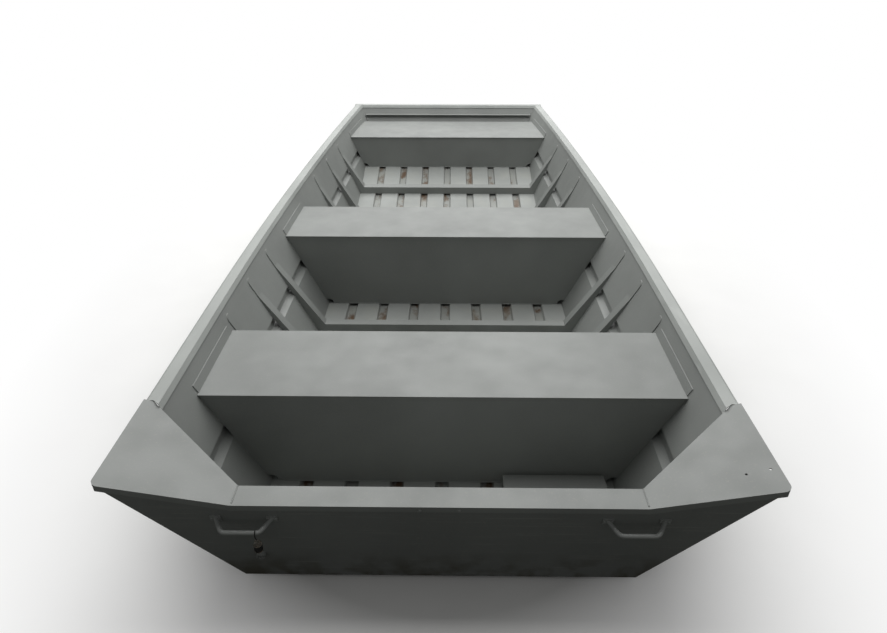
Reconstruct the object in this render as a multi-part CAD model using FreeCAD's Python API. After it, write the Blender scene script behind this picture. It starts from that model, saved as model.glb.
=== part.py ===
import FreeCAD
import Part
import math
import os

# A welded aluminium jon boat. Lengths are millimetres. "s" runs forward from the
# transom's top edge, x runs to starboard, z runs up from the strakes it rests on.

# --- sheets and overall shape -------------------------------------------------
SHEET = 3.0                  # hull, seat and rib sheet
RAIL_SHEET = 4.0             # extruded gunwale wall
LENGTH = 4150.0              # transom top edge to the bow cap's outer edge
DEPTH = 473.0                # inside floor to gunwale top, amidships
BOW_LIFT = 11.0              # extra depth at the bow
CHINE_HALF = 608.0           # inside half width of the floor
STERN_DRAW = 18.0            # how much the floor narrows at the transom
STERN_DRAW_START = 700.0
SHEER_HALF = 846.0           # inside half width at the gunwale, aft
BOW_HALF = 689.0             # inside half width at the gunwale, at the bow
TAPER_START = 1000.0         # where the sides begin to draw in
TAPER_POWER = 1.87
RISE_START = 2200.0          # where the bottom begins to rise
BOW_FOOT = 4000.0            # where the bottom meets the bow plate
RISE = 313.0                 # floor height at the bow plate's foot
BOW_TOP = 4105.0             # bow plate's inner face at the gunwale
TRANSOM_RAKE = 105.0         # how far the transom's foot sits forward of its top
SEAL = 0.3                   # fit left between parts that are welded, not folded

# --- pressed strakes and side grooves -----------------------------------------
STRAKES = 7
STRAKE_PITCH = 160.0
STRAKE_MOUTH = 50.0          # width at the floor
STRAKE_BED = 36.0            # width at the bottom
STRAKE_DEPTH = 15.0
STRAKE_WALL = 2.0            # outward step that keeps the pressed walls thick
SIDE_GROOVE_LOW = 203.0      # lower edge above the floor
SIDE_GROOVE_HIGH = 253.0     # upper edge above the floor
SIDE_GROOVE_DEPTH = 22.0
SIDE_GROOVE_SLANT = 12.0
SIDE_GROOVE_LIFT = 40.0      # how much it climbs towards the bow
PRESS_START = 130.0          # pressings begin here and are full at PRESS_FULL
PRESS_FULL = 210.0
PRESS_FADE = 3600.0
PRESS_END = 3800.0

# --- gunwale ------------------------------------------------------------------
RAIL_OUT = 45.0              # rail width outside the hull's inner face
RAIL_INNER_LIP = 18.0
RAIL_OUTER_LIP = 26.0
RAIL_ROUND = 12.0
RAIL_ARC_STEPS = 5
BOW_RAIL_WIDTH = LENGTH - BOW_TOP

# --- transom ------------------------------------------------------------------
TRANSOM_TOP_HALF = 885.0     # the panel closes the gunwales' ends
CAP_LEVEL = 386.0            # top of the motor cap above the floor
CAP_HALF = 550.0
CAP_DEPTH = 70.0             # fore and aft
CAP_LIP = 24.0
BOX_HALF = 536.0
BOX_LOW = 165.0              # bottom of the boxed inner skin above the floor
CORNER_REACH = 347.0         # corner plate's tip along the gunwale
CORNER_TIP = 864.0           # half width of the tip
CORNER_ROUND = 20.0
CORNER_LIP = 26.0
LIGHT_HOLES = ((807.0, 76.0), (868.0, 79.0))
LIGHT_HOLE_R = 3.5
KNEE_WIDTH = 68.0
KNEE_REACH = 250.0           # along the floor, forward of the boxed skin
KNEE_HIGH = 350.0            # top of the knee above the floor

# --- seats --------------------------------------------------------------------
SEAT_LEVEL = 382.0           # seat top above the floor
BOW_SEAT_LEVEL = 390.0
SEATS = (
    ("aft", 489.0, 399.0, SEAT_LEVEL),
    ("middle", 1765.0, 399.0, SEAT_LEVEL),
    ("bow", 3515.0, 450.0, BOW_SEAT_LEVEL),
)
SEAT_OVERHANG = 5.0
SEAT_FLANGE = 27.0           # upturned strip on the hull side
FLANGE_INSET = 14.0
LIMBER = 26.0                # drain notch where a panel meets the chine

# --- ribs ---------------------------------------------------------------------
RIBS = (907.0, 1198.0, 1485.0, 2519.0, 2849.0, 3168.0)
RIB_WIDTH = 45.0
RIB_HIGH = 45.0
SIDE_RIB_START = 30.0        # how far its foot reaches in over the floor rib
SIDE_RIB_MERGE = 355.0       # where it runs flat onto the side
SIDE_RIB_TIP = 430.0
SIDE_RIB_THIN = 4.0

# --- bow ----------------------------------------------------------------------
STIFFENER_LEVEL = 424.0
STIFFENER = 22.0
EYE_LEVEL = 395.0            # bow eye above the floor
EYE_PAD = (70.0, 50.0, 5.0)
EYE_BAR_R = 5.0
EYE_HALF = 17.0
EYE_REACH = 34.0

# --- fittings -----------------------------------------------------------------
HANDLE_FEET = (452.0, 605.0)
HANDLE_LEAN = 25.0           # how far each leg slants in
HANDLE_LEVEL = 322.0
HANDLE_BAR_R = 6.5
HANDLE_REACH = 44.0
HANDLE_BEND = 20.0
HANDLE_PAD = (30.0, 24.0, 3.0)
DRAIN_X = -519.0
DRAIN_LEVEL = 130.0
DRAIN_R = 12.5
DRAIN_BORE_R = 9.5
DRAIN_OUT = 14.0
DRAIN_IN = 24.0
TRAY_X = (212.0, 566.0)
TRAY_S = (300.0, 486.0)
TRAY_HIGH = 44.0
TRAY_LEG = 20.0
CORD_R = 1.5
CORD_X = -488.0
PLUG_R = 12.0
PLUG_LONG = 20.0
PLUG_WASHER = 2.0
PLUG_STEM_R = 3.0
PLUG_RING_R = 6.0
PLUG_RING_WIRE = 1.25
CORD_DROP = 20.0
CORD_FALL = 1.7              # how far it hangs straight, in loop radii

# --- frame --------------------------------------------------------------------
FLOOR = SHEET + STRAKE_DEPTH             # inside floor above the resting plane
TOP = FLOOR + DEPTH
STATIONS = (-100.0, PRESS_START, PRESS_FULL, 400.0, 700.0, 1000.0, 1300.0, 1600.0, 1900.0,
            2200.0, 2400.0, 2600.0, 2800.0, 3000.0, 3200.0, 3400.0, PRESS_FADE, PRESS_END,
            BOW_FOOT, 4200.0)
TILT = math.atan2(TRANSOM_RAKE, DEPTH)
BIG = 3000.0
# The handles reach furthest aft and the bow cap furthest forward.
HANDLE_S = TRANSOM_RAKE * (DEPTH - HANDLE_LEVEL) / DEPTH
AFT_END = HANDLE_S - (HANDLE_REACH + HANDLE_BAR_R) * math.cos(TILT)
MIDDLE = (min(AFT_END, -SHEET / math.cos(TILT)) + LENGTH) / 2.0


def vec(x, s, z):
    return FreeCAD.Vector(x, s - MIDDLE, z)


def share(s, start, end, power):
    return max(0.0, (s - start) / (end - start)) ** power


def station(s):
    """Floor height, gunwale height, and inside half widths at the gunwale and floor."""
    floor = FLOOR + RISE * share(s, RISE_START, BOW_FOOT, 2)
    top = TOP + BOW_LIFT * share(s, RISE_START, LENGTH, 2)
    half = SHEER_HALF - (SHEER_HALF - BOW_HALF) * share(s, TAPER_START, LENGTH, TAPER_POWER)
    chine = CHINE_HALF - STERN_DRAW * share(s, STERN_DRAW_START, TRANSOM_RAKE, 2)
    return floor, top, half, chine


def hull_at(s):
    """The same four, straight between neighbouring stations like the sheets are."""
    before = max(n for n in STATIONS[:-1] if n <= s)
    after = STATIONS[STATIONS.index(before) + 1]
    part = (s - before) / (after - before)
    return tuple(a + (b - a) * part for a, b in zip(station(before), station(after)))


def side_x(s, z):
    floor, top, half, chine = hull_at(s)
    return chine + (half - chine) * (z - floor) / (top - floor)


def skin(s):
    """Sheet thickness measured across the boat on the sloping side."""
    floor, top, half, chine = hull_at(s)
    return SHEET * math.hypot(1.0, (half - chine) / (top - floor))


def pressed(s):
    rise = min(1.0, share(s, PRESS_START, PRESS_FULL, 1))
    return rise * (1.0 - min(1.0, share(s, PRESS_FADE, PRESS_END, 1)))


def span(start, end):
    """Stations from start to end, with every sheet station between them."""
    return [start] + [n for n in STATIONS if start < n < end] + [end]


def loft(sections):
    """Solid through closed outlines, each given as (s, [(x, z), ...])."""
    wires = []
    for s, outline in sections:
        points = [vec(x, s, z) for x, z in outline]
        wires.append(Part.makePolygon(points + points[:1]))
    return Part.makeLoft(wires, True, True)


def prism_x(outline, x0, x1):
    """Extrudes an (s, z) outline across the boat from x0 to x1."""
    points = [vec(x0, s, z) for s, z in outline]
    face = Part.Face(Part.makePolygon(points + points[:1]))
    return face.extrude(FreeCAD.Vector(x1 - x0, 0, 0))


def prism_z(outline, z0, z1):
    """Extrudes an (x, s) outline upward from z0 to z1."""
    points = [vec(x, s, z0) for x, s in outline]
    face = Part.Face(Part.makePolygon(points + points[:1]))
    return face.extrude(FreeCAD.Vector(0, 0, z1 - z0))


def prism_s(outline, s0, s1):
    """Extrudes an (x, z) outline forward from s0 to s1."""
    return loft([(s0, outline), (s1, outline)])


def mirror(shape):
    return shape.mirror(FreeCAD.Vector(0, 0, 0), FreeCAD.Vector(1, 0, 0))


def arc(cx, cz, r, start, end):
    steps = range(RAIL_ARC_STEPS + 1)
    turn = [math.radians(start + (end - start) * n / RAIL_ARC_STEPS) for n in steps]
    return [(cx + r * math.cos(a), cz + r * math.sin(a)) for a in turn]


def fuse(shapes):
    whole = shapes[0]
    for other in shapes[1:]:
        whole = whole.fuse(other)
    return whole.removeSplitter()


# --- raked end planes -----------------------------------------------------------
def transom_s(z, off=0.0):
    """Where the transom's outer face is at height z, moved forward by off."""
    return TRANSOM_RAKE * (TOP - z) / DEPTH + off / math.cos(TILT)


def bow_s(z, off=0.0):
    """Where the bow plate's inner face is at height z, moved forward by off."""
    foot = FLOOR + RISE
    lean = (BOW_TOP - BOW_FOOT) / (TOP + BOW_LIFT - foot)
    return BOW_FOOT + lean * (z - foot) + off * math.hypot(1.0, lean)


def raked(face, near, far, low, high, half=BIG):
    """Slab between two offsets of a raked face, from height low to high."""
    outline = [(face(low, near), low), (face(low, far), low),
               (face(high, far), high), (face(high, near), high)]
    return prism_x(outline, -half, half)


def on_transom(x, up, out):
    """Point on the transom's outer face at height up, moved aft and out by out."""
    s = transom_s(up) - out * math.cos(TILT)
    return vec(x, s, up - out * math.sin(TILT))


def trim_ends(shape):
    aft = raked(transom_s, -BIG, SHEET, -BIG, BIG)
    fore = raked(bow_s, 0.0, BIG, -BIG, BIG)
    return shape.cut(aft).cut(fore)


def envelope(start, end):
    """Outside of the hull as one block, used to shape the two end plates."""
    sections = []
    for s in span(start, end):
        floor, top, half, chine = hull_at(s)
        low, high = chine + skin(s), half + skin(s)
        sections.append((s, [(-low, floor - SHEET), (low, floor - SHEET),
                             (low, floor), (high, top - RAIL_SHEET),
                             (-high, top - RAIL_SHEET), (-low, floor)]))
    return loft(sections)


# --- hull sheets ------------------------------------------------------------------
def strake_centres():
    middle = (STRAKES - 1) / 2.0
    return [(n - middle) * STRAKE_PITCH for n in range(STRAKES)]


def bottom_outline(s):
    floor = hull_at(s)[0]
    deep = STRAKE_DEPTH * pressed(s)
    edge = side_x(s, floor) + skin(s)
    inside, outside = [(-edge, floor)], [(-edge, floor - SHEET)]
    for x in strake_centres():
        mouth, bed = STRAKE_MOUTH / 2.0, STRAKE_BED / 2.0
        inside += [(x - mouth, floor), (x - bed, floor - deep),
                   (x + bed, floor - deep), (x + mouth, floor)]
        mouth, bed, low = mouth + STRAKE_WALL, bed + STRAKE_WALL, floor - SHEET
        outside += [(x - mouth, low), (x - bed, low - deep),
                    (x + bed, low - deep), (x + mouth, low)]
    inside.append((edge, floor))
    outside.append((edge, floor - SHEET))
    return inside + outside[::-1]


def hull_bottom():
    return trim_ends(loft([(s, bottom_outline(s)) for s in STATIONS]))


def side_outline(s):
    floor, top, half, chine = hull_at(s)
    thick = skin(s)
    deep = SIDE_GROOVE_DEPTH * pressed(s)
    climb = FLOOR + SIDE_GROOVE_LIFT * share(s, RISE_START, PRESS_FADE, 2)
    climb = min(climb, FLOOR + SIDE_GROOVE_LIFT)
    low, high = climb + SIDE_GROOVE_LOW, climb + SIDE_GROOVE_HIGH
    low = max(low, floor + SHEET)
    high = max(high, low + SIDE_GROOVE_HIGH - SIDE_GROOVE_LOW)
    in_low, in_high = low + SIDE_GROOVE_SLANT, high - SIDE_GROOVE_SLANT
    inside = [(chine, floor), (side_x(s, low), low),
              (side_x(s, in_low) + deep, in_low), (side_x(s, in_high) + deep, in_high),
              (side_x(s, high), high), (side_x(s, top - RAIL_SHEET), top - RAIL_SHEET)]
    step = STRAKE_WALL * pressed(s)
    shift = (0.0, -step, -step, step, step, 0.0)
    outside = []
    for (x, z), dz in zip(inside, shift):
        slope = (half - chine) / (top - floor)
        outside.append((x + thick + slope * dz, z + dz))
    return inside + outside[::-1]


def corner_plane(x, drop=0.0):
    """Height of the sloping corner plate at x, lowered by drop."""
    climb = (DEPTH - CAP_LEVEL) / (SHEER_HALF + RAIL_OUT - SHEET * 5 - CAP_HALF)
    return FLOOR + CAP_LEVEL + climb * (x - CAP_HALF) - drop


def above_corner(drop, x0=CAP_HALF, s0=-BIG / 10, s1=CORNER_REACH):
    outline = [(x0, corner_plane(x0, drop)), (BIG / 2, corner_plane(BIG / 2, drop)),
               (BIG / 2, BIG), (x0, BIG)]
    return prism_s(outline, s0, s1)


def hull_side():
    side = trim_ends(loft([(s, side_outline(s)) for s in STATIONS]))
    return side.cut(above_corner(SHEET))


# --- gunwale and bow rail ----------------------------------------------------------
def rail_outline(s):
    top, half = hull_at(s)[1:3]
    out = half + RAIL_OUT
    low, under = top - RAIL_INNER_LIP, top - RAIL_SHEET
    centre = (out - RAIL_ROUND, top - RAIL_ROUND)
    outer = arc(*centre, RAIL_ROUND, 90, 0)
    inner = arc(*centre, RAIL_ROUND - RAIL_SHEET, 0, 90)
    return ([(side_x(s, low) - RAIL_SHEET, low), (half - RAIL_SHEET, top)] + outer
            + [(out, top - RAIL_OUTER_LIP), (out - RAIL_SHEET, top - RAIL_OUTER_LIP)]
            + inner + [(side_x(s, under), under), (side_x(s, low), low)])


def corner_block(lip):
    """Plan block of a corner plate; lip moves its outer and aft faces outward."""
    out = SHEER_HALF + RAIL_OUT - SHEET + lip
    aft = transom_s(FLOOR + DEPTH) - lip / math.cos(TILT)
    inner = transom_s(FLOOR + CAP_LEVEL) + (CAP_DEPTH - SHEET) / math.cos(TILT)
    outline = [(CAP_HALF, aft), (out, aft), (out, CORNER_REACH),
               (CORNER_TIP, CORNER_REACH), (CAP_HALF, inner)]
    block = prism_z(outline, FLOOR, TOP + DEPTH)
    edge = [e for e in block.Edges if all(
        abs(v.X - out) < 1 and abs(v.Y + MIDDLE - aft) < 1 for v in e.Vertexes)]
    block = block.makeFillet(CORNER_ROUND - SHEET + lip, edge)
    return block.cut(raked(transom_s, -BIG, -lip, -BIG, BIG))


def corner_plate():
    low, high = above_corner(CORNER_LIP), above_corner(0.0)
    shell = corner_block(SHEET).common(low).cut(high)
    hollow = corner_block(0.0).cut(above_corner(SHEET))
    return shell.cut(hollow)


def drilled(plate):
    """The two holes for a stern light, in the starboard plate only."""
    for x, s in LIGHT_HOLES:
        hole = Part.makeCylinder(LIGHT_HOLE_R, BIG, vec(x, s, 0))
        plate = plate.cut(hole)
    return plate


def gunwale():
    start = CORNER_REACH - RAIL_OUT
    end = bow_s(TOP + BOW_LIFT) - RAIL_SHEET
    rail = loft([(s, rail_outline(s)) for s in span(start, end)])
    reach = RAIL_SHEET + SEAL
    beyond = prism_x([(bow_s(0.0) - reach, 0.0), (BIG * 2, 0.0), (BIG * 2, BIG),
                      (bow_s(BIG) - reach, BIG)], -BIG, BIG)
    return rail.cut(corner_block(SHEET)).cut(beyond)


def bow_cap():
    top = TOP + BOW_LIFT
    low, under = top - RAIL_INNER_LIP, top - RAIL_SHEET
    centre = (LENGTH - RAIL_ROUND, top - RAIL_ROUND)
    outline = [(bow_s(low) - RAIL_SHEET, low), (bow_s(top) - RAIL_SHEET, top)]
    outline += arc(*centre, RAIL_ROUND, 90, 0)
    outline += [(LENGTH, top - RAIL_OUTER_LIP), (LENGTH - RAIL_SHEET, top - RAIL_OUTER_LIP)]
    outline += arc(*centre, RAIL_ROUND - RAIL_SHEET, 0, 90)
    outline += [(bow_s(under), under), (bow_s(low), low)]
    half = hull_at(BOW_TOP)[2] + RAIL_OUT
    return prism_x(outline, -half, half)


def bow_plate():
    block = raked(bow_s, 0.0, SHEET, 0.0, BIG)
    return block.common(envelope(PRESS_END, STATIONS[-1]))


def bow_stiffener():
    level = FLOOR + STIFFENER_LEVEL
    low = level - STIFFENER
    half = side_x(bow_s(low, -STIFFENER), low) - SHEET
    flat = raked(bow_s, -STIFFENER, -SEAL, level - SHEET, level, half)
    back = raked(bow_s, -SHEET - SEAL, -SEAL, low, level, half)
    return fuse([flat, back])


# --- transom ------------------------------------------------------------------------
def transom_panel():
    foot = side_x(TRANSOM_RAKE, FLOOR) + skin(TRANSOM_RAKE)
    low, high = FLOOR - SHEET, TOP + DEPTH
    spread = (TRANSOM_TOP_HALF - foot) / (TOP - low)
    tip = foot + spread * (high - low)
    outline = prism_s([(-foot, low), (foot, low), (tip, high), (-tip, high)], -BIG, BIG)
    panel = raked(transom_s, 0.0, SHEET, 0.0, BIG).common(outline)
    cap_under = FLOOR + CAP_LEVEL - SHEET
    panel = panel.cut(prism_s([(-CAP_HALF, cap_under), (CAP_HALF, cap_under),
                               (CAP_HALF, BIG), (-CAP_HALF, BIG)], -BIG, BIG))
    corner = above_corner(SHEET)
    panel = panel.cut(corner).cut(mirror(corner))
    return panel.cut(drain_core(DRAIN_R))


def transom_cap():
    top = FLOOR + CAP_LEVEL
    depth = CAP_DEPTH
    outer = raked(transom_s, -SHEET, depth - SHEET, top - CAP_LIP, top, CAP_HALF)
    inner = raked(transom_s, 0.0, depth - 2 * SHEET, 0.0, top - SHEET, BIG)
    return outer.cut(inner)


def transom_box():
    """Inner skin that boxes in the motor area: a pan open towards the transom."""
    low, high = FLOOR + BOX_LOW, FLOOR + CAP_LEVEL - SHEET
    deep = CAP_DEPTH - 2 * SHEET
    outer = raked(transom_s, SHEET, deep, low, high, BOX_HALF)
    inner = raked(transom_s, 0.0, deep - SHEET, low + SHEET, high, BOX_HALF - SHEET)
    return outer.cut(inner)


def transom_knee():
    high = FLOOR + KNEE_HIGH
    deep = CAP_DEPTH - 2 * SHEET
    foot = transom_s(FLOOR + BOX_LOW, deep)
    end = foot + KNEE_REACH
    step = FLOOR + RIB_HIGH / 2
    half = KNEE_WIDTH / 2.0
    drop = SHEET * 2

    def wedge(gap, width):
        outline = [(transom_s(FLOOR, SHEET), FLOOR), (end, FLOOR), (end, step - gap),
                   (transom_s(high - gap, deep), high - gap),
                   (transom_s(FLOOR + BOX_LOW, deep), FLOOR + BOX_LOW),
                   (transom_s(FLOOR + BOX_LOW, SHEET), FLOOR + BOX_LOW)]
        return prism_x(outline, -width, width)

    return wedge(0.0, half).cut(wedge(drop, half - SHEET))


# --- seats --------------------------------------------------------------------------
def seat_top(start, depth, level):
    z = FLOOR + level
    right = [(side_x(s, z - SHEET), s) for s in span(start, start + depth)]
    sheet = prism_z(right + [(-x, s) for x, s in right[::-1]], z - SHEET, z)
    strips = []
    for s in span(start + FLANGE_INSET, start + depth - FLANGE_INSET):
        foot, tip, thick = side_x(s, z), side_x(s, z + SEAT_FLANGE), skin(s)
        strips.append((s, [(foot - thick, z), (foot, z), (tip, z + SEAT_FLANGE),
                           (tip - thick, z + SEAT_FLANGE)]))
    strip = loft(strips)
    return fuse([sheet, strip, mirror(strip)])


def panel_outline(s, z):
    floor, chine = hull_at(s)[0], side_x(s, hull_at(s)[0])
    notch = [(chine - LIMBER, floor)]
    for x, up in arc(0.0, 0.0, LIMBER, 165, 75)[1:-1]:
        notch.append((chine + x, floor + up))
    notch.append((side_x(s, floor + LIMBER), floor + LIMBER))
    right = notch + [(side_x(s, z), z)]
    return right + [(-x, z) for x, z in right[::-1]]


def seat_panel(s, level):
    z = FLOOR + level - SHEET
    return loft([(n, panel_outline(n, z)) for n in (s, s + SHEET)])


# --- ribs ---------------------------------------------------------------------------
def floor_rib(start):
    def block(inset, drop):
        sections = []
        for s in (start + inset, start + RIB_WIDTH - inset):
            floor = hull_at(s)[0]
            top = floor + RIB_HIGH - drop
            low, high = side_x(s, floor), side_x(s, top)
            sections.append((s, [(-low, floor), (low, floor), (high, top), (-high, top)]))
        return loft(sections)

    return block(0.0, 0.0).cut(block(SHEET, SHEET))


def side_rib(start):
    merge, tip = FLOOR + SIDE_RIB_MERGE, FLOOR + SIDE_RIB_TIP

    def block(inset, drop):
        sections = []
        for s in (start + inset, start + RIB_WIDTH - inset):
            foot = hull_at(s)[0] + RIB_HIGH
            reach, thin = SIDE_RIB_START - drop, SIDE_RIB_THIN - drop
            sections.append((s, [(side_x(s, foot), foot), (side_x(s, foot - RIB_HIGH) - reach, foot),
                                 (side_x(s, merge) - thin, merge), (side_x(s, merge), merge)]))
        return loft(sections)

    channel = block(0.0, 0.0).cut(block(SHEET, SHEET + SEAL))
    plate = []
    for s in (start, start + RIB_WIDTH):
        plate.append((s, [(side_x(s, merge) - SIDE_RIB_THIN, merge), (side_x(s, merge), merge),
                          (side_x(s, tip), tip), (side_x(s, tip) - SIDE_RIB_THIN, tip)]))
    half = RIB_WIDTH / 2.0
    centre = start + half
    nose = Part.makeCylinder(half, BIG, vec(0, centre, tip - half), FreeCAD.Vector(1, 0, 0))
    shank = prism_x([(start, merge - half), (start + RIB_WIDTH, merge - half),
                     (start + RIB_WIDTH, tip - half), (start, tip - half)], 0.0, BIG)
    tongue = loft(plate).common(nose.fuse(shank))
    return fuse([channel, tongue])


# --- fittings -----------------------------------------------------------------------
def bent_wire(points, bend):
    """Straight runs joined by tangent arcs of one radius."""
    edges, last = [], points[0]
    for before, corner, after in zip(points, points[1:], points[2:]):
        back = (before - corner).normalize()
        ahead = (after - corner).normalize()
        half = back.getAngle(ahead) / 2.0
        cut = bend / math.tan(half)
        first, end = corner + back * cut, corner + ahead * cut
        toward = (back + ahead).normalize()
        middle = corner + toward * (bend / math.sin(half) - bend)
        edges += [Part.makeLine(last, first), Part.Arc(first, middle, end).toShape()]
        last = end
    edges.append(Part.makeLine(last, points[-1]))
    return Part.Wire(edges)


def pipe(wire, radius):
    edge = wire.Edges[0]
    start = edge.Vertexes[0].Point
    along = edge.tangentAt(edge.FirstParameter)
    ring = Part.Wire(Part.makeCircle(radius, start, along))
    return wire.makePipeShell([ring], True, False)


def plate_on_transom(x, up, size):
    wide, high, thick = size
    corner = on_transom(x - wide / 2, up + FLOOR, 0.0)
    rise = FreeCAD.Vector(0, -math.sin(TILT), math.cos(TILT))
    out = FreeCAD.Vector(0, -math.cos(TILT), -math.sin(TILT))
    corner = corner - rise * (high / 2)
    across = FreeCAD.Vector(wide, 0, 0)
    points = [corner, corner + across, corner + across + rise * high, corner + rise * high]
    return Part.Face(Part.makePolygon(points + points[:1])).extrude(out * thick)


def handle():
    inner, outer = HANDLE_FEET
    z = FLOOR + HANDLE_LEVEL
    points = [on_transom(inner, z, 0.0), on_transom(inner + HANDLE_LEAN, z, HANDLE_REACH),
              on_transom(outer - HANDLE_LEAN, z, HANDLE_REACH), on_transom(outer, z, 0.0)]
    bar = pipe(bent_wire(points, HANDLE_BEND), HANDLE_BAR_R)
    bar = bar.common(raked(transom_s, -BIG, 0.0, 0.0, BIG))
    pads = [plate_on_transom(x, HANDLE_LEVEL, HANDLE_PAD) for x in HANDLE_FEET]
    return fuse([bar] + pads)


def drain_core(radius):
    z = FLOOR + DRAIN_LEVEL
    outward = FreeCAD.Vector(0, -math.cos(TILT), -math.sin(TILT))
    start = on_transom(DRAIN_X, z, -DRAIN_IN)
    return Part.makeCylinder(radius, DRAIN_IN + DRAIN_OUT, start, outward)


def drain_tube():
    return drain_core(DRAIN_R).cut(drain_core(DRAIN_BORE_R))


def floor_tray():
    x0, x1 = TRAY_X
    s0, s1 = TRAY_S
    top = FLOOR + TRAY_HIGH
    outline = [(x0, FLOOR), (x0 + TRAY_LEG, FLOOR), (x0 + TRAY_LEG, FLOOR + SHEET),
               (x0 + SHEET, FLOOR + SHEET), (x0 + SHEET, top - SHEET),
               (x1 - SHEET, top - SHEET), (x1 - SHEET, FLOOR + SHEET),
               (x1 - TRAY_LEG, FLOOR + SHEET), (x1 - TRAY_LEG, FLOOR), (x1, FLOOR),
               (x1, top), (x0, top)]
    return prism_s(outline, s0, s1)


def bow_eye():
    wide, high, thick = EYE_PAD
    level = FLOOR + EYE_LEVEL
    pad = raked(bow_s, SHEET, SHEET + thick, level - high / 2, level + high / 2, wide / 2)
    face = SHEET + thick
    points = [vec(-EYE_HALF, bow_s(level, SHEET), level),
              vec(-EYE_HALF, bow_s(level, face) + EYE_REACH, level),
              vec(EYE_HALF, bow_s(level, face) + EYE_REACH, level),
              vec(EYE_HALF, bow_s(level, SHEET), level)]
    ring = pipe(bent_wire(points, EYE_HALF - EYE_BAR_R / 2), EYE_BAR_R)
    ring = ring.common(raked(bow_s, SHEET, BIG, 0.0, BIG))
    return fuse([pad, ring])


# --- drain plug on its cord -----------------------------------------------------------
def plug_place():
    """Handle bar's centre and the top of the plug's ring under it."""
    bar = on_transom(CORD_X, FLOOR + HANDLE_LEVEL, HANDLE_REACH)
    return bar, bar - FreeCAD.Vector(0, 0, HANDLE_BAR_R + CORD_DROP)


def plug_parts():
    ring_top = plug_place()[1]
    down = FreeCAD.Vector(0, 0, -1)
    ring_centre = ring_top + down * (PLUG_RING_R + PLUG_RING_WIRE)
    ring = Part.makeTorus(PLUG_RING_R, PLUG_RING_WIRE, ring_centre, FreeCAD.Vector(0, 1, 0))
    head = ring_centre + down * (PLUG_RING_R - PLUG_RING_WIRE)
    long = PLUG_LONG + 3 * PLUG_WASHER
    stem = Part.makeCylinder(PLUG_STEM_R, long + PLUG_WASHER, head, down)
    first = head + down * (2 * PLUG_WASHER)
    last = first + down * (PLUG_WASHER + PLUG_LONG)
    washers = [Part.makeCylinder(PLUG_R, PLUG_WASHER, at, down) for at in (first, last)]
    rubber = Part.makeCylinder(PLUG_R - SEAL, PLUG_LONG, first + down * PLUG_WASHER, down)
    stem = fuse([stem, ring] + washers)
    return stem, rubber.cut(Part.makeCylinder(PLUG_STEM_R, BIG, head, down))


def cord_route():
    bar, ring = plug_place()
    off = HANDLE_BAR_R + CORD_R + SEAL
    return [bar + FreeCAD.Vector(0, 0, off),
            bar + FreeCAD.Vector(0, -off, off / 2),
            bar + FreeCAD.Vector(0, -off, -off * CORD_FALL),
            ring]


def cord_wire():
    points = cord_route()
    edges, last = [], points[0]
    for before, corner, after in zip(points, points[1:], points[2:]):
        back, ahead = before - corner, after - corner
        half = back.getAngle(ahead) / 2.0
        cut = 0.45 * min(back.Length, ahead.Length)
        bend = cut * math.tan(half)
        print("cord bend radius", round(bend, 2))
        back, ahead = back.normalize(), ahead.normalize()
        middle = corner + (back + ahead).normalize() * (bend / math.sin(half) - bend)
        first, end = corner + back * cut, corner + ahead * cut
        edges += [Part.makeLine(last, first), Part.Arc(first, middle, end).toShape()]
        last = end
    edges.append(Part.makeLine(last, points[-1]))
    return Part.Wire(edges)


def save(name, shape):
    solids = shape.Solids
    if len(solids) != 1 or not shape.isValid():
        print("check", name, "solids", len(solids), "valid", shape.isValid())
    shape = solids[0] if len(solids) == 1 else Part.makeCompound(solids)
    shape.exportStep("parts/%s.step" % name)


def save_pair(name, shape, suffix=""):
    save(name + "_starboard" + suffix, shape)
    save(name + "_port" + suffix, mirror(shape))


def main():
    os.makedirs("parts", exist_ok=True)
    save("hull_bottom", hull_bottom())
    save_pair("hull_side", hull_side())
    save("transom_panel", transom_panel())
    save("transom_cap", transom_cap())
    save("transom_box", transom_box())
    save("transom_knee", transom_knee())
    save("corner_plate_starboard", drilled(corner_plate()))
    save("corner_plate_port", mirror(corner_plate()))
    save_pair("gunwale", gunwale())
    save("bow_plate", bow_plate())
    save("bow_cap", bow_cap())
    save("bow_stiffener", bow_stiffener())
    save("bow_eye", bow_eye())
    for name, start, depth, level in SEATS:
        save(name + "_seat_top", seat_top(start, depth, level))
        save(name + "_seat_aft_panel", seat_panel(start + SEAT_OVERHANG, level))
        end = start + depth - SEAT_OVERHANG - SHEET
        save(name + "_seat_fore_panel", seat_panel(end, level))
    for n, start in enumerate(RIBS, 1):
        save("floor_rib_%d" % n, floor_rib(start))
        save_pair("side_rib", side_rib(start), "_%d" % n)
    save_pair("handle", handle())
    save("drain_tube", drain_tube())
    save("floor_tray", floor_tray())
    stem, rubber = plug_parts()
    save("plug_stem", stem)
    save("plug_rubber", rubber)
    save("plug_cord", pipe(cord_wire(), CORD_R))


main()
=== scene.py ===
import math

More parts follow.
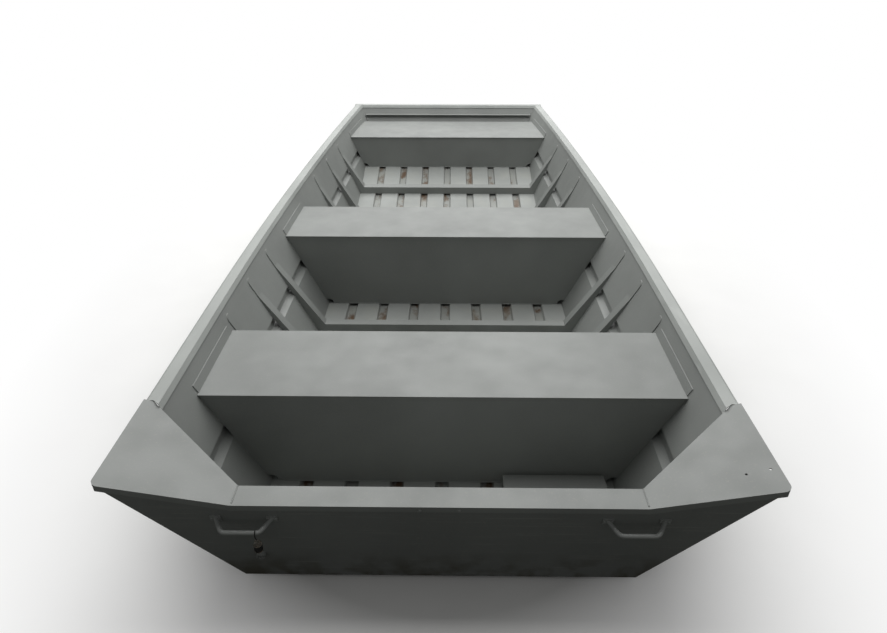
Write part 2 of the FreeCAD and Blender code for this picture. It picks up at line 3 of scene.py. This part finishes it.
import bpy
import numpy as np
from bpy.props import FloatProperty, FloatVectorProperty, PointerProperty
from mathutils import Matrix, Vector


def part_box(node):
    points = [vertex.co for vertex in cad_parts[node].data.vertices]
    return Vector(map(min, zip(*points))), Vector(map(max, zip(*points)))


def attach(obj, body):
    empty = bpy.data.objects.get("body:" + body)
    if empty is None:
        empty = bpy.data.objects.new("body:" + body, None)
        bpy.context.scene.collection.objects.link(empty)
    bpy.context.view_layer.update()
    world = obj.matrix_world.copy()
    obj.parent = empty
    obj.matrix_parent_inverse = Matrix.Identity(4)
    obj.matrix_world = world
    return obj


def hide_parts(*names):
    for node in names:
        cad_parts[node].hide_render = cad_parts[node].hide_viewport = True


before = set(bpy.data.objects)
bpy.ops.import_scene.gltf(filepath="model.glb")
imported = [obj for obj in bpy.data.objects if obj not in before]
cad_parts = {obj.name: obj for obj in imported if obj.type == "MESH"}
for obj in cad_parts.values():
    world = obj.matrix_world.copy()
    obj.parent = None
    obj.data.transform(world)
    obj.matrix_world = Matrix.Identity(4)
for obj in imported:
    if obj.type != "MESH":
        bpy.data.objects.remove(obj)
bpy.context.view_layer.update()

bl_info = {
    "name": "Welded jon boat",
    "version": (1, 0, 0),
    "blender": (4, 5, 0),
    "location": "3D View > Sidebar > Boat",
    "description": "Finishes a painted aluminium jon boat: paint, rivets, welds, plug and cord",
    "category": "Object",
}

MM = 0.001

# --- sizes of the hull that the added pieces follow -----------------------------------
TRANSOM_RAKE = 105.0                      # mm that the transom's foot sits forward of its top
HULL_DEPTH = 473.0                        # mm from the inside floor to the gunwale's top
SHEER = 491.0 * MM                        # the gunwale's top above the strakes it rests on
SHEET = 3.0 * MM
STRAKE_PITCH = 160.0 * MM                 # across the floor
GROOVE_EDGE = 26.0 * MM                   # from a strake's centre line, where dirt begins
GROOVE_FULL = 14.0 * MM                   # and where it lies at its thickest
SEAT_FLANGE = 27.0 * MM                   # how far each seat's edge strips stand above its top

# --- rivets and bolts -------------------------------------------------------------------
PAD_CENTRE = 15.0 * MM                    # in from the handle's end
PAD_DROP = 12.0 * MM                      # down from the handle's top
PAD_THICK = 3.0 * MM
RIVET_OFFSETS = (-10.0 * MM, 10.0 * MM)   # either side of the pad's centre
BOLT_PLACES = (-52.0 * MM, 52.0 * MM)     # either side of the transom's centre
BOLT_RISE = 9.0 * MM                      # above the cap's lower edge
RIVET_HEIGHT = 0.6                        # a head's height, in its own radii
BOLT_HEIGHT = 0.7

# --- weld beads -------------------------------------------------------------------------
CAP_WELD_AFT = 8.0 * MM                   # clear of the cap's aft edge
CAP_WELD_FORE = 4.0 * MM                  # clear of its forward edge
WELD_SINK = 0.3                           # depth of a cap bead's centre, in its radii
WELD_RAISE = 0.4                          # height of a foot bead's centre, in its radii
FOOT_WELD_HALF = 560.0 * MM               # half the length of the bead at a seat panel's foot
SEAT_WELD_GAP = 4.0 * MM                  # below the seat's top and clear of the panel's ends
SEAT_WELD_SHARE = 0.7                     # the bead under a seat's edge is finer than the rest

# --- drain plug and cord ----------------------------------------------------------------
STEM_CLEARANCE_R = 3.05 * MM              # the plug's bore, round a stem of 3 mm radius
PLUG_RIBS = 3
PLUG_RIB_SHARE = 0.07                     # how much of the radius the ribs take up
# The cord's route, given point by point: over the handle's bar and down to the plug's ring.
CORD_ROUTE = ((-0.488, -2.076544, 0.338765), (-0.488, -2.084844, 0.334615),
              (-0.488, -2.084844, 0.316355), (-0.488, -2.076544, 0.303965))

# --- paint and stage --------------------------------------------------------------------
FLOOR_DUST_AND_LIGHT = 1.3                          # the floor's paint is drawn paler: partly dust, partly painted light falling in from above
STERN_PAINTED_SHADE = 0.78                        # the transom's paint is drawn darker: painted shade on its aft face, which gets little light
RAIL_PAINTED_SHEEN = 1.6                           # the rails' paint is drawn paler than the hull's: a painted sheen for the sky's highlight on them
STAGE_REACH = 14.0                        # half the side of the studio floor, in metres
FADE_START = 1.15                         # metres from the boat's middle, across it
FADE_END = 2.0                            # where the floor has gone white
FADE_LENGTHWISE = 0.55                    # distances along the boat count for this much
LAMP_OVERHEAD = 360.0                     # watts
LAMP_BOW = 110.0
FILL = 0.22                               # even light from all round
LENS = 26.38                              # mm, on a sensor 36 mm wide
SENSOR_WIDTH = 36.0
EYE_PLACE = (0.024, -3.256, 1.706)
EYE_DOWN = 30.83                          # degrees that the camera looks down
EYE_YAW = 0.64                            # degrees that it looks to port


def linear(text):
    """sRGB hex to the linear values that a shader takes."""
    parts = [int(text[n:n + 2], 16) / 255 for n in (1, 3, 5)]
    return tuple(c / 12.92 if c <= 0.04045 else ((c + 0.055) / 1.055) ** 2.4 for c in parts)


# --- sizes that a user would change -------------------------------------------------
class BoatSizes(bpy.types.PropertyGroup):
    """Sizes and colours of what is added to the frame."""

    paint: FloatVectorProperty(name="Paint", description="Grey-green boat paint",
                               subtype="COLOR", size=3, default=linear("#8b8e8b"))
    rivet: FloatProperty(name="Rivet head", description="Radius of a rivet's domed head",
                         default=4.5 * MM, unit="LENGTH")
    bolt: FloatProperty(name="Bolt head", description="Radius of the bolts under the motor cap",
                        default=6.0 * MM, unit="LENGTH")
    bead: FloatProperty(name="Weld bead", description="Radius of a weld bead",
                        default=2.6 * MM, unit="LENGTH")
    ripple: FloatProperty(name="Weld ripple", description="Spacing of the ripples in a bead",
                          default=5.0 * MM, unit="LENGTH")
    cord: FloatProperty(name="Cord", description="Diameter of the drain plug's cord",
                        default=3.0 * MM, unit="LENGTH")


# --- materials ------------------------------------------------------------------------
def add(tree, kind, inputs=None, **settings):
    """Adds a node; inputs maps a socket to a value or to another node's output."""
    node = tree.nodes.new("ShaderNode" + kind)
    for name, value in settings.items():
        setattr(node, name, value)
    for key, value in (inputs or {}).items():
        if isinstance(value, bpy.types.NodeSocket):
            tree.links.new(value, node.inputs[key])
        else:
            node.inputs[key].default_value = value
    return node


def new_material(name):
    """A new material and its node tree, emptied."""
    material = bpy.data.materials.new(name)
    material.use_nodes = True
    tree = material.node_tree
    tree.nodes.clear()
    return material, tree


def finish_material(tree, shader):
    """Joins the shader to the material's output."""
    add(tree, "OutputMaterial", {"Surface": shader.outputs["BSDF"]})


def object_noise(tree, scale, stretch=(1.0, 1.0, 1.0), detail=3.0, rough=0.5):
    """Noise in Object coordinates, stretched along the axes; scale is in features a metre,
    so 140 gives specks about 7 mm across."""
    place = add(tree, "TexCoord").outputs["Object"]
    mapped = add(tree, "Mapping", {"Vector": place, "Scale": stretch}).outputs["Vector"]
    return add(tree, "TexNoise", {"Vector": mapped, "Scale": scale, "Detail": detail,
                                  "Roughness": rough}).outputs["Fac"]


def remap(tree, value, low, high, to_low, to_high):
    """Carries low to to_low and high to to_high in a straight line, and holds beyond them."""
    return add(tree, "MapRange", {"Value": value, "From Min": low, "From Max": high,
                                  "To Min": to_low, "To Max": to_high}).outputs["Result"]


def mixed(tree, share, first, second):
    """The first colour where share is 0 and the second where it is 1."""
    node = add(tree, "Mix", {0: share, 6: first, 7: second}, data_type="RGBA")
    return node.outputs[2]


def product(tree, first, second):
    """The two values multiplied."""
    return add(tree, "Math", {0: first, 1: second}, operation="MULTIPLY").outputs[0]


def shade(text):
    """An opaque colour from sRGB hex."""
    return linear(text) + (1.0,)


def painted_aluminium(name, paint, stain=None, scratched=False):
    """Rolled aluminium under satin grey-green boat paint: the eye sees soft broad tone
    changes, dust that dulls the gloss, slight waves in the sheet and a fine spray texture."""
    material, tree = new_material(name)
    colour = tuple(paint) + (1.0,)
    cloud = remap(tree, object_noise(tree, 2.2), 0.35, 0.65, 0.0, 1.0)
    darker = tuple(0.84 * c for c in paint) + (1.0,)
    tone = mixed(tree, cloud, darker, colour)
    speck = remap(tree, object_noise(tree, 140.0, detail=6.0, rough=0.7), 0.56, 0.72, 0.0, 0.35)
    tone = mixed(tree, speck, tone, shade("#a09d92"))
    if scratched:
        lines = object_noise(tree, 9.0, (0.35, 1.0, 26.0), detail=5.0, rough=0.6)
        mark = remap(tree, lines, 0.60, 0.68, 0.0, 0.45)
        tone = mixed(tree, mark, tone, shade("#a9aaa4"))
        # Darker olive-brown towards the transom's foot, in noisy patches.
        height = add(tree, "SeparateXYZ", {0: add(tree, "TexCoord").outputs["Object"]}).outputs["Z"]
        low_dark_patches = product(tree, remap(tree, height, 0.16, 0.02, 0.0, 1.0),
                         remap(tree, object_noise(tree, 16.0, detail=6.0), 0.42, 0.62, 0.0, 0.8))
        tone = mixed(tree, low_dark_patches, tone, shade("#4a4536"))
    if stain:
        tone = stain(tree, tone)
    gloss = remap(tree, object_noise(tree, 11.0, detail=5.0), 0.3, 0.7, 0.42, 0.60)
    wave = object_noise(tree, 5.0, detail=1.0)
    spray = object_noise(tree, 420.0, detail=2.0)
    soft = add(tree, "Bump", {"Height": wave, "Strength": 0.25, "Distance": 6.0 * MM})
    fine = add(tree, "Bump", {"Height": spray, "Strength": 0.12, "Distance": 0.4 * MM,
                              "Normal": soft.outputs["Normal"]})
    shader = add(tree, "BsdfPrincipled", {"Base Color": tone, "Roughness": gloss,
                                          "Normal": fine.outputs["Normal"]})
    finish_material(tree, shader)
    return material


def groove_dirt(tree, tone):
    """Silt and rust that dry in the strakes; the distance from the nearest strake's centre
    line runs up and down once a pitch across the floor."""
    place = add(tree, "SeparateXYZ", {0: add(tree, "TexCoord").outputs["Object"]}).outputs["X"]
    from_centre = add(tree, "Math", {0: place, 1: STRAKE_PITCH / 2}, operation="PINGPONG").outputs[0]
    in_groove = remap(tree, from_centre, GROOVE_EDGE, GROOVE_FULL, 0.0, 1.0)
    patch = remap(tree, object_noise(tree, 5.5, (1.6, 1.0, 1.0), detail=6.0, rough=0.65),
                  0.50, 0.60, 0.0, 0.9)
    silt = mixed(tree, product(tree, in_groove, 0.25), tone, shade("#6c6a60"))
    rust = mixed(tree, product(tree, in_groove, patch), silt, shade("#5a4026"))
    dust = remap(tree, object_noise(tree, 7.0, detail=6.0), 0.5, 0.75, 0.0, 0.4)
    return mixed(tree, dust, rust, shade("#a5a69d"))


def rail_scuffs(tree, tone):
    """Short rubs along the rail's rounded edge, where the paint is polished pale."""
    rub = remap(tree, object_noise(tree, 30.0, (1.0, 0.18, 1.0), detail=5.0), 0.58, 0.70, 0.0, 0.5)
    return mixed(tree, rub, tone, shade("#b4b7b3"))


def vulcanised_rubber():
    """Black moulded rubber: dull, with a dusty bloom."""
    material, tree = new_material("vulcanised_rubber")
    bloom = remap(tree, object_noise(tree, 300.0, detail=4.0), 0.45, 0.7, 0.0, 0.5)
    tone = mixed(tree, bloom, shade("#141412"), shade("#3a3833"))
    bump = add(tree, "Bump", {"Height": bloom, "Strength": 0.2, "Distance": 0.3 * MM})
    finish_material(tree, add(tree, "BsdfPrincipled", {
        "Base Color": tone, "Roughness": 0.75, "Normal": bump.outputs["Normal"]}))
    return material


def braided_nylon():
    """Black braided nylon cord: a matt weave with strands about 1 mm wide, drawn coarse."""
    material, tree = new_material("braided_nylon")
    place = add(tree, "TexCoord").outputs["Object"]
    weave = add(tree, "TexWave", {"Vector": place, "Scale": 300.0, "Distortion": 1.5},
                bands_direction="DIAGONAL").outputs["Fac"]
    tone = mixed(tree, weave, shade("#0e0e0d"), shade("#2d2c29"))
    bump = add(tree, "Bump", {"Height": weave, "Strength": 0.6, "Distance": 0.4 * MM})
    finish_material(tree, add(tree, "BsdfPrincipled", {
        "Base Color": tone, "Roughness": 0.85, "Normal": bump.outputs["Normal"]}))
    return material


def weathered_steel():
    """Zinc-plated steel left outdoors: dull grey metal with brown spots."""
    material, tree = new_material("weathered_zinc_plated_steel")
    spots = remap(tree, object_noise(tree, 220.0, detail=5.0), 0.5, 0.62, 0.0, 0.85)
    tone = mixed(tree, spots, shade("#a5a29a"), shade("#5d4630"))
    metal = remap(tree, spots, 0.0, 0.85, 1.0, 0.1)
    finish_material(tree, add(tree, "BsdfPrincipled", {
        "Base Color": tone, "Metallic": metal, "Roughness": 0.48}))
    return material


def coat(thing, material):
    """Gives a piece one material in place of any it had."""
    thing.data.materials.clear()
    thing.data.materials.append(material)


# --- mesh helpers -----------------------------------------------------------------------
def grid_mesh(name, grids, closed=True):
    """Joins grids of points, each of shape (rows, columns, 3), into one mesh; each row
    closes on itself when closed, and its quads follow the grid's neighbours."""
    points, quads, start = [], [], 0
    for grid in grids:
        rows, columns = grid.shape[:2]
        index = np.arange(rows * columns).reshape(rows, columns) + start
        if closed:
            index = np.concatenate([index, index[:, :1]], axis=1)
        quads.append(np.stack([index[:-1, :-1], index[:-1, 1:], index[1:, 1:], index[1:, :-1]],
                              axis=-1).reshape(-1, 4))
        points.append(grid.reshape(-1, 3))
        start += rows * columns
    points, quads = np.concatenate(points), np.concatenate(quads)
    mesh = bpy.data.meshes.new(name)
    mesh.vertices.add(len(points))
    mesh.vertices.foreach_set("co", points.ravel())
    mesh.loops.add(quads.size)
    mesh.loops.foreach_set("vertex_index", quads.ravel())
    mesh.polygons.add(len(quads))
    mesh.polygons.foreach_set("loop_start", np.arange(0, quads.size, 4))
    mesh.update(calc_edges=True)
    mesh.validate()
    mesh.polygons.foreach_set("use_smooth", np.ones(len(mesh.polygons), bool))
    thing = bpy.data.objects.new(name, mesh)
    bpy.context.scene.collection.objects.link(thing)
    return thing


def basis(axis):
    """Two unit vectors square to axis, so that they and axis are right-handed."""
    axis = np.array(axis, float) / np.linalg.norm(axis)
    guide = np.array((0.0, 0.0, 1.0)) if abs(axis[2]) < 0.9 else np.array((1.0, 0.0, 0.0))
    side = np.cross(guide, axis)
    side /= np.linalg.norm(side)
    return side, np.cross(axis, side), axis


def turned(centre, axis, profile, sides=20):
    """Surface of revolution: each profile pair (radius, height) is swept round axis, the
    point being centre + axis * height + radius * (side * cos + up * sin)."""
    side, up, axis = basis(axis)
    turn = np.linspace(0.0, 2 * math.pi, sides, endpoint=False)
    ring = np.cos(turn)[:, None] * side + np.sin(turn)[:, None] * up
    radius, height = np.array(profile).T
    return (np.array(centre) + height[:, None, None] * axis
            + radius[:, None, None] * ring[None])


def dome(radius, height, lip=0.15, steps=7):
    """Profile of a rivet head: a short wall, then a quarter ellipse that narrows to a
    hundredth of the radius at its crown."""
    angle = np.linspace(0.0, math.pi / 2, steps)
    wall = height * lip
    curve = np.stack([radius * np.cos(angle), wall + (height - wall) * np.sin(angle)], axis=1)
    return [(radius, 0.0)] + curve[:-1].tolist() + [(radius * 0.01, height)]


def bead_grid(start, end, radius, ripple, sides=8):
    """A weld bead from start to end: a round tube whose radius swells and shrinks by a
    sixth once a ripple, and narrows to a fiftieth of it at both ends."""
    start, end = np.array(start, float), np.array(end, float)
    length = np.linalg.norm(end - start)
    rows = max(8, int(length / ripple * 4))
    along = np.linspace(0.0, 1.0, rows)
    swell = 1.0 + np.sin(along * length / ripple * 2 * math.pi) / 6
    swell[[0, -1]] = 0.02
    return turned(start, end - start, np.stack([radius * swell, along * length], axis=1), sides)


def add_piece(name, grids, material):
    """Makes one mesh of the grids, coats it and fixes it to the hull."""
    piece = grid_mesh(name, grids)
    coat(piece, material)
    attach(piece, "root")
    return piece


# --- places taken from the frame ---------------------------------------------------------
CAP_LOW, CAP_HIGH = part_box("transom_cap")
RAKE = TRANSOM_RAKE / HULL_DEPTH          # transom's lean, forward per unit down
RAKE_TURN = math.atan(RAKE)
AFT_FACING = (0.0, -math.cos(RAKE_TURN), -math.sin(RAKE_TURN))
FACE_START = CAP_LOW.y + SHEET / math.cos(RAKE_TURN) - RAKE * (SHEER - CAP_HIGH.z)


def transom_point(x, z, out=0.0):
    """Point on the transom's aft face at height z, moved outward by out."""
    y = FACE_START + RAKE * (SHEER - z)
    return np.array((x, y, z)) + out * np.array(AFT_FACING)


# --- operators ---------------------------------------------------------------------------
class BOAT_OT_paint(bpy.types.Operator):
    """Gives every frame piece its finish"""

    bl_idname = "boat.paint"
    bl_label = "Paint the hull"

    def execute(self, context):
        paint = context.scene.boat.paint
        plain = painted_aluminium("satin_boat_paint_on_aluminium", paint)
        # The floor's paint is drawn paler: partly dust, partly painted light from above.
        floor = painted_aluminium("silted_boat_paint_with_painted_light", tuple(c * FLOOR_DUST_AND_LIGHT for c in paint),
                                  stain=groove_dirt)
        # The transom's paint is drawn darker, as painted shade on its aft face.
        stern = painted_aluminium("scratched_boat_paint_in_painted_shade", tuple(c * STERN_PAINTED_SHADE for c in paint),
                                  scratched=True)
        # The rails' paint is drawn paler, as a painted sheen for the sky's highlight; the rubs along
        # them are wear.
        rail = painted_aluminium("rubbed_rail_paint_with_painted_sheen", tuple(min(1.0, c * RAIL_PAINTED_SHEEN) for c in paint),
                                 stain=rail_scuffs)
        special = {"hull_bottom": floor, "transom_panel": stern, "gunwale_port": rail,
                   "gunwale_starboard": rail, "bow_cap": rail,
                   "plug_rubber": vulcanised_rubber(), "plug_stem": weathered_steel(),
                   "plug_cord": braided_nylon()}
        for name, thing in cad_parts.items():
            coat(thing, special.get(name, plain))
        return {"FINISHED"}


class BOAT_OT_rivets(bpy.types.Operator):
    """Rivets on the handle pads, and the bolts under the motor cap"""

    bl_idname = "boat.rivets"
    bl_label = "Add rivets"

    def execute(self, context):
        sizes = context.scene.boat
        heads = []
        head = dome(sizes.rivet, sizes.rivet * RIVET_HEIGHT)
        for side in ("port", "starboard"):
            low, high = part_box("handle_" + side)
            for x in (low.x + PAD_CENTRE, high.x - PAD_CENTRE):
                for offset in RIVET_OFFSETS:
                    place = transom_point(x + offset, high.z - PAD_DROP, PAD_THICK)
                    heads.append(turned(place, AFT_FACING, head))
        bolt = dome(sizes.bolt, sizes.bolt * BOLT_HEIGHT)
        for x in BOLT_PLACES:
            place = transom_point(x, CAP_LOW.z + BOLT_RISE, SHEET)
            heads.append(turned(place, AFT_FACING, bolt))
        paint = bpy.data.materials["satin_boat_paint_on_aluminium"]
        add_piece("rivet_heads", heads, paint)
        return {"FINISHED"}


class BOAT_OT_welds(bpy.types.Operator):
    """Weld beads at the cap's ends, and at the foot and top edge of each seat's aft panel"""

    bl_idname = "boat.welds"
    bl_label = "Add weld beads"

    def execute(self, context):
        sizes = context.scene.boat
        bead, ripple = sizes.bead, sizes.ripple
        level = CAP_HIGH.z - bead * WELD_SINK
        grids = []
        for x in (CAP_LOW.x, CAP_HIGH.x):
            grids.append(bead_grid((x, CAP_LOW.y + CAP_WELD_AFT, level),
                                   (x, CAP_HIGH.y - CAP_WELD_FORE, level), bead, ripple))
        for seat in ("aft_seat", "middle_seat", "bow_seat"):
            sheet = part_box(seat + "_top")[1].z - SEAT_FLANGE
            low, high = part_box(seat + "_aft_panel")
            foot = low.z + bead * WELD_RAISE
            grids.append(bead_grid((-FOOT_WELD_HALF, low.y, foot),
                                   (FOOT_WELD_HALF, low.y, foot), bead, ripple))
            edge = high.x - SEAT_WELD_GAP
            under = sheet - SEAT_WELD_GAP
            grids.append(bead_grid((-edge, low.y, under), (edge, low.y, under),
                                   bead * SEAT_WELD_SHARE, ripple))
        paint = bpy.data.materials["satin_boat_paint_on_aluminium"]
        add_piece("weld_beads", grids, paint)
        return {"FINISHED"}


class BOAT_OT_plug(bpy.types.Operator):
    """The rubber drain plug's ribbed body, on the frame's stem"""

    bl_idname = "boat.plug"
    bl_label = "Add the drain plug"

    def execute(self, context):
        low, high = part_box("plug_rubber")
        centre = ((low.x + high.x) / 2, (low.y + high.y) / 2, low.z)
        radius, tall = (high.x - low.x) / 2, high.z - low.z
        along = np.linspace(0.0, 1.0, 25)
        # The radius rises from the barrel's by the absolute value of a sine, once a rib.
        crown = radius * (1.0 - PLUG_RIB_SHARE
                          + PLUG_RIB_SHARE * np.abs(np.sin(along * PLUG_RIBS * math.pi)))
        rows = np.stack([crown, along * tall], axis=1).tolist()
        profile = [(STEM_CLEARANCE_R, 0.0)] + rows + [(STEM_CLEARANCE_R, tall)]
        body = add_piece("plug_body", [turned(centre, (0, 0, 1), profile, 28)],
                         bpy.data.materials["vulcanised_rubber"])
        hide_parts("plug_rubber")
        return {"FINISHED"}


class BOAT_OT_cord(bpy.types.Operator):
    """The drain plug's cord, over the port handle and down to the plug's ring"""

    bl_idname = "boat.cord"
    bl_label = "Add the plug cord"

    def execute(self, context):
        size = context.scene.boat.cord
        curve = bpy.data.curves.new("drain_cord", "CURVE")
        curve.dimensions = "3D"
        curve.bevel_depth = size / 2
        curve.bevel_resolution = 3
        curve.resolution_u = 12
        curve.use_fill_caps = True
        spline = curve.splines.new("NURBS")
        spline.points.add(len(CORD_ROUTE) - 1)
        for point, place in zip(spline.points, CORD_ROUTE):
            point.co = (*place, 1.0)
        spline.order_u = 3
        spline.use_endpoint_u = True
        cord = bpy.data.objects.new("drain_cord", curve)
        context.scene.collection.objects.link(cord)
        coat(cord, bpy.data.materials["braided_nylon"])
        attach(cord, "root")
        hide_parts("plug_cord")
        return {"FINISHED"}


class BOAT_OT_stage(bpy.types.Operator):
    """Pale floor, soft light and the camera"""

    bl_idname = "boat.stage"
    bl_label = "Set the stage"

    def execute(self, context):
        scene = context.scene
        scene.view_settings.view_transform = "Standard"
        mesh = bpy.data.meshes.new("floor")
        corners = [(x * STAGE_REACH, y * STAGE_REACH, 0) for x, y in
                   ((-1, -1), (1, -1), (1, 1), (-1, 1))]
        mesh.from_pydata(corners, [], [(0, 1, 2, 3)])
        floor = bpy.data.objects.new("floor", mesh)
        scene.collection.objects.link(floor)
        coat(floor, pale_floor())
        white_world(scene)
        soft_lamp("overhead", place=(0.0, 1.6, 4.6), target=(0.0, 0.2, 0.0), size=6.5,
                  power=LAMP_OVERHEAD)
        soft_lamp("bow_side", place=(0.0, 7.5, 3.6), target=(0.0, 0.5, 0.2), size=5.0,
                  power=LAMP_BOW)
        camera = bpy.data.cameras.new("camera")
        camera.sensor_width = SENSOR_WIDTH
        camera.lens = LENS
        eye = bpy.data.objects.new("camera", camera)
        eye.location = EYE_PLACE
        eye.rotation_euler = (math.radians(90.0 - EYE_DOWN), 0.0, math.radians(EYE_YAW))
        scene.collection.objects.link(eye)
        scene.camera = eye
        return {"FINISHED"}


def pale_floor():
    """Pale studio floor that keeps the boat's shadow, fades to white away from the boat,
    and throws only a little light back up under the hull."""
    material, tree = new_material("pale_studio_floor")
    grain = remap(tree, object_noise(tree, 3.0), 0.3, 0.7, 0.0, 1.0)
    pale = mixed(tree, grain, shade("#ececea"), shade("#f1f1ef"))
    seen = add(tree, "LightPath").outputs["Is Camera Ray"]
    tone = mixed(tree, seen, shade("#5c5e5a"), pale)
    matt = add(tree, "BsdfDiffuse", {"Color": tone})
    place = add(tree, "Mapping", {"Vector": add(tree, "TexCoord").outputs["Object"],
                                  "Scale": (1.0, FADE_LENGTHWISE, 1.0)}).outputs["Vector"]
    reach = add(tree, "VectorMath", {0: place}, operation="LENGTH").outputs["Value"]
    away = product(tree, remap(tree, reach, FADE_START, FADE_END, 0.0, 1.0), seen)
    white = add(tree, "Emission", {"Color": (1.0, 1.0, 1.0, 1.0), "Strength": 1.0})
    both = add(tree, "MixShader", {0: away, 1: matt.outputs[0], 2: white.outputs[0]})
    add(tree, "OutputMaterial", {"Surface": both.outputs[0]})
    return material


def white_world(scene):
    """White to the eye and to transmission rays, and a low even fill on everything else."""
    world = bpy.data.worlds.new("studio")
    world.use_nodes = True
    tree = world.node_tree
    tree.nodes.clear()
    path = add(tree, "LightPath")
    seen = add(tree, "Math", {0: path.outputs["Is Camera Ray"],
                              1: path.outputs["Is Transmission Ray"]}, operation="MAXIMUM")
    level = remap(tree, seen.outputs[0], 0.0, 1.0, FILL, 1.0)
    back = add(tree, "Background", {"Color": (1.0, 1.0, 1.0, 1.0), "Strength": level})
    add(tree, "OutputWorld", {"Surface": back.outputs[0]})
    scene.world = world


def soft_lamp(name, place, target, size, power):
    """A square lamp at place that shines towards target."""
    lamp = bpy.data.lights.new(name, "AREA")
    lamp.size = size
    lamp.energy = power
    thing = bpy.data.objects.new(name, lamp)
    thing.location = place
    way = np.array(target) - np.array(place)
    flat = math.hypot(way[0], way[1])
    thing.rotation_euler = (math.atan2(flat, -way[2]), 0.0, math.atan2(-way[0], way[1]))
    bpy.context.scene.collection.objects.link(thing)


class BOAT_PT_panel(bpy.types.Panel):
    """Lists the boat's operators and sizes"""

    bl_label = "Jon boat"
    bl_space_type = "VIEW_3D"
    bl_region_type = "UI"
    bl_category = "Boat"

    def draw(self, context):
        for name in ("paint", "rivet", "bolt", "bead", "ripple", "cord"):
            self.layout.prop(context.scene.boat, name)
        for operator in OPERATORS:
            self.layout.operator(operator.bl_idname)


OPERATORS = (BOAT_OT_paint, BOAT_OT_rivets, BOAT_OT_welds, BOAT_OT_plug, BOAT_OT_cord,
             BOAT_OT_stage)
CLASSES = (BoatSizes,) + OPERATORS + (BOAT_PT_panel,)


def register():
    """Makes the operators and the sizes known to Blender."""
    for kind in CLASSES:
        bpy.utils.register_class(kind)
    bpy.types.Scene.boat = PointerProperty(type=BoatSizes)


def unregister():
    """Takes them away again, last first."""
    del bpy.types.Scene.boat
    for kind in reversed(CLASSES):
        bpy.utils.unregister_class(kind)


def main():
    """Makes every piece and the stage."""
    register()
    bpy.ops.boat.paint()
    bpy.ops.boat.rivets()
    bpy.ops.boat.welds()
    bpy.ops.boat.plug()
    bpy.ops.boat.cord()
    bpy.ops.boat.stage()


if __name__ == "__main__":
    main()
